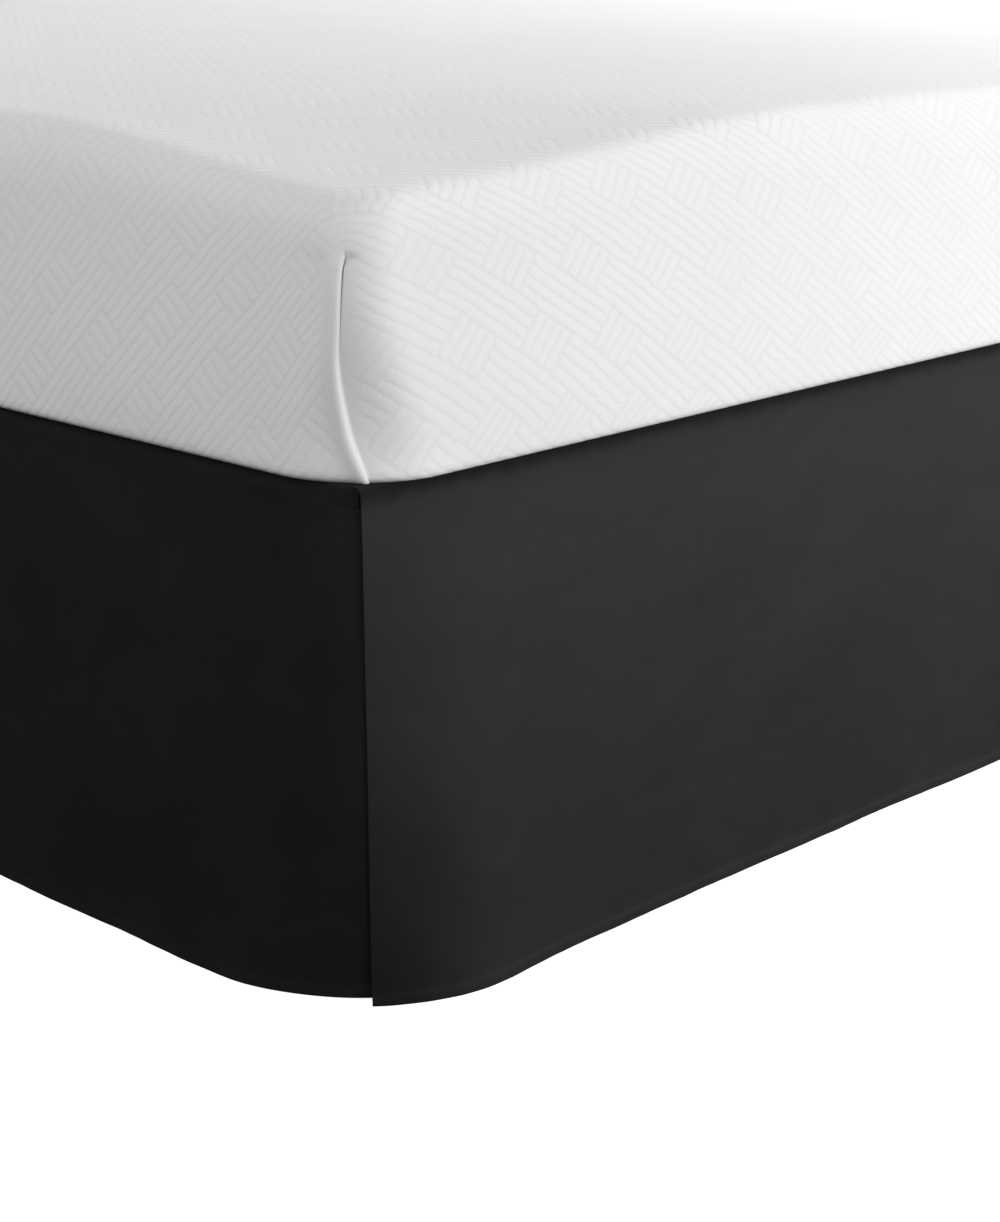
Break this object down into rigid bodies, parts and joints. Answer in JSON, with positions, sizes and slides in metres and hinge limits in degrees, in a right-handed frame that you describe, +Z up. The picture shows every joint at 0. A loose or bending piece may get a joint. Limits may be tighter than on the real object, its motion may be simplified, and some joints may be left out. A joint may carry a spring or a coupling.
{
  "type": "bed skirt on a bed foundation with mattress",
  "caption": "Tailored split-corner bed skirt hanging from its deck on a legged box foundation, under a mattress; open at the head.",
  "frame": {"origin": "on the floor, under the middle of the part's box", "axes": "+Z up, Y along the bed with the head at +Y and the foot at -Y, X across the bed"},
  "size_m": [1.5456, 2.044, 0.5636],
  "materials": {
    "skirt_cloth": "black plain-woven microfibre, soft matte",
    "deck_cloth": "white plain cotton blend",
    "mattress_cover": "white knit cover with a raised line pattern",
    "foundation_cloth": "light grey upholstery cloth",
    "leg_wood": "dark stained, satin"
  },
  "bodies": {
    "root": {"deck": "deck_cloth", "drop_foot": "skirt_cloth", "drop_side_left": "skirt_cloth", "drop_side_right": "skirt_cloth", "foundation": "foundation_cloth", "leg_foot_left": "leg_wood", "leg_foot_right": "leg_wood", "leg_head_left": "leg_wood", "leg_head_right": "leg_wood", "leg_middle_left": "leg_wood", "leg_middle_right": "leg_wood", "mattress": "mattress_cover"}
  },
  "joints": []
}
